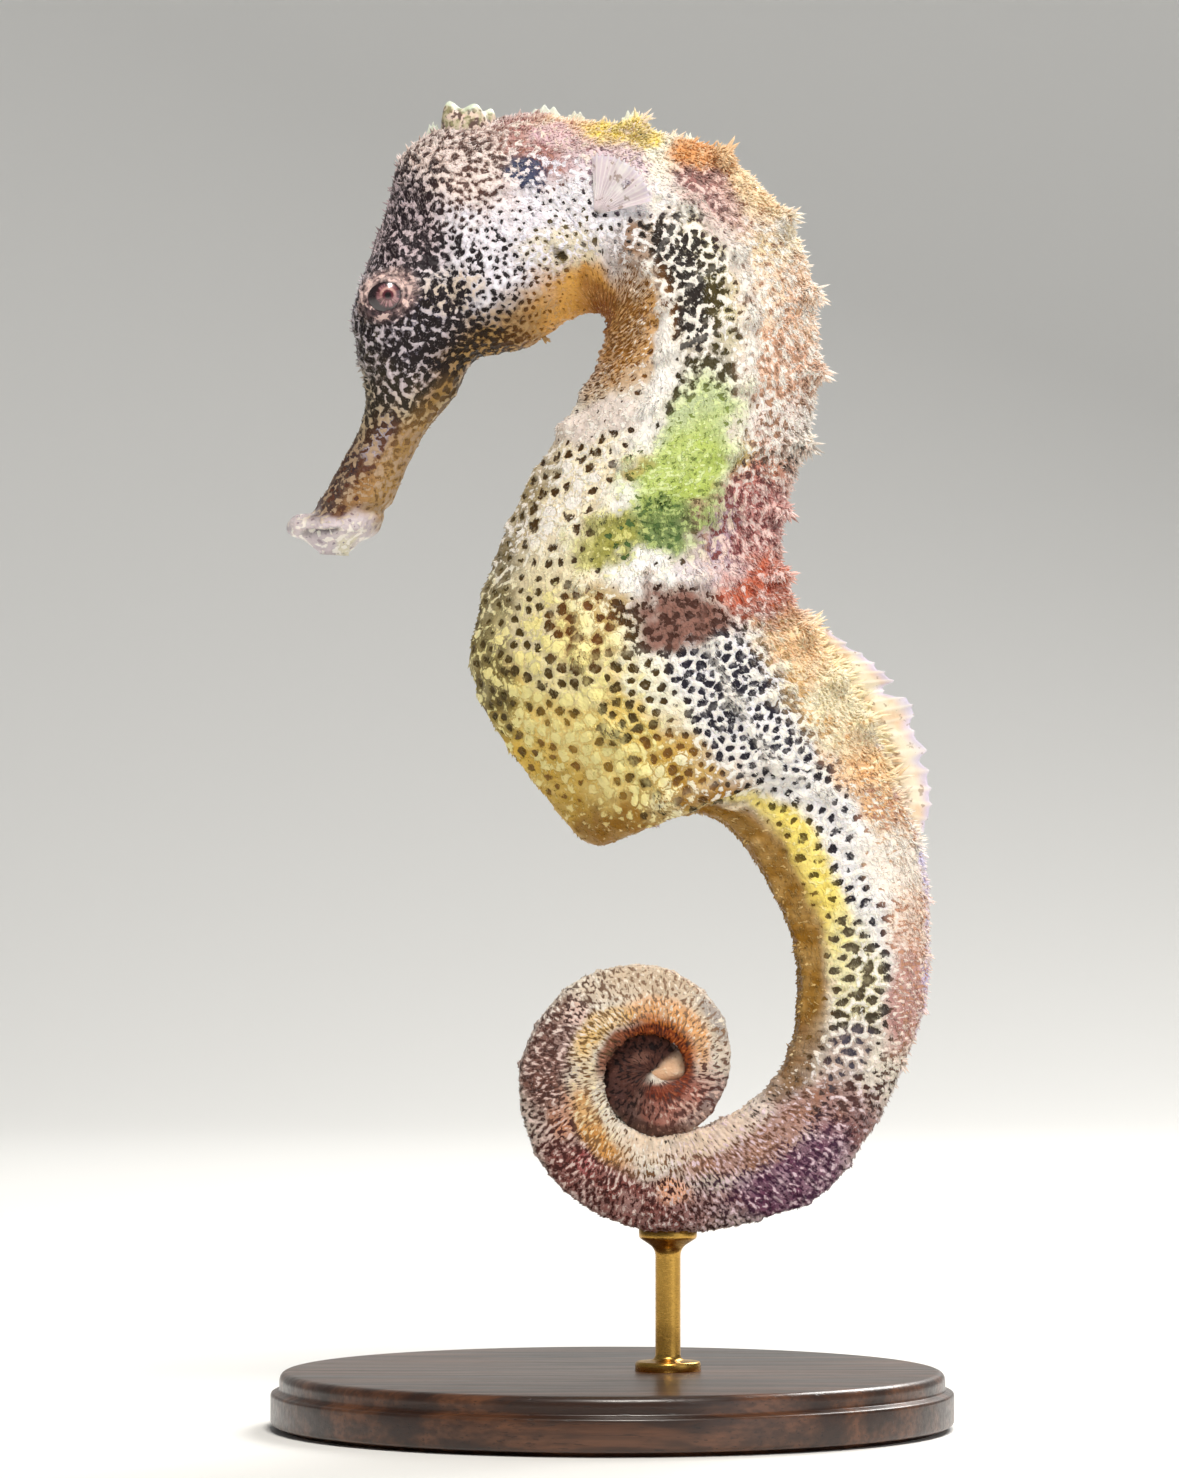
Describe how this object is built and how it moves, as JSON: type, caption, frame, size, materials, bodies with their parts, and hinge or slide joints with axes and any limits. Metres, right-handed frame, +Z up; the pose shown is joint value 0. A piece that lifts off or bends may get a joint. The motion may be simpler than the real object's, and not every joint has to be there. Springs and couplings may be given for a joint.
{
  "type": "seahorse",
  "caption": "Still, life-size model of an adult longsnout seahorse with its tail coiled forwards, held above a round wooden display base by a brass rod.",
  "frame": {"origin": "middle of the stand's underside, on the surface that it stands on", "axes": "+Z up; the animal looks towards -X, its left side faces -Y, and XZ is its plane of symmetry"},
  "size_m": [0.054, 0.054, 0.1046],
  "materials": {
    "skin": "matt, ringed and finely pimpled skin, mottled yellow, cream, pink and brown with dark spots",
    "eye": "wet gloss, pinkish iris with fine radial lines and a small dark pupil",
    "fin": "thin milky membrane on fine rays",
    "base_wood": "satin dark walnut",
    "rod_brass": "brushed, satin"
  },
  "bodies": {
    "root": {"snout": "skin", "head": "skin", "coronet": "skin", "neck": "skin", "trunk_upper": "skin", "trunk_middle": "skin", "trunk_lower": "skin", "tail_base": "skin", "tail_upper": "skin", "tail_middle": "skin", "tail_lower": "skin", "tail_bend": "skin", "coil_bottom": "skin", "coil_front": "skin", "coil_top": "skin", "coil_back": "skin", "coil_inner": "skin", "tail_tip": "skin", "eye_left": "eye", "eye_right": "eye", "dorsal_fin": "fin", "pectoral_fin_left": "fin", "pectoral_fin_right": "fin", "anal_fin": "fin", "stand_base": "base_wood", "stand_rod": "rod_brass"}
  },
  "joints": []
}
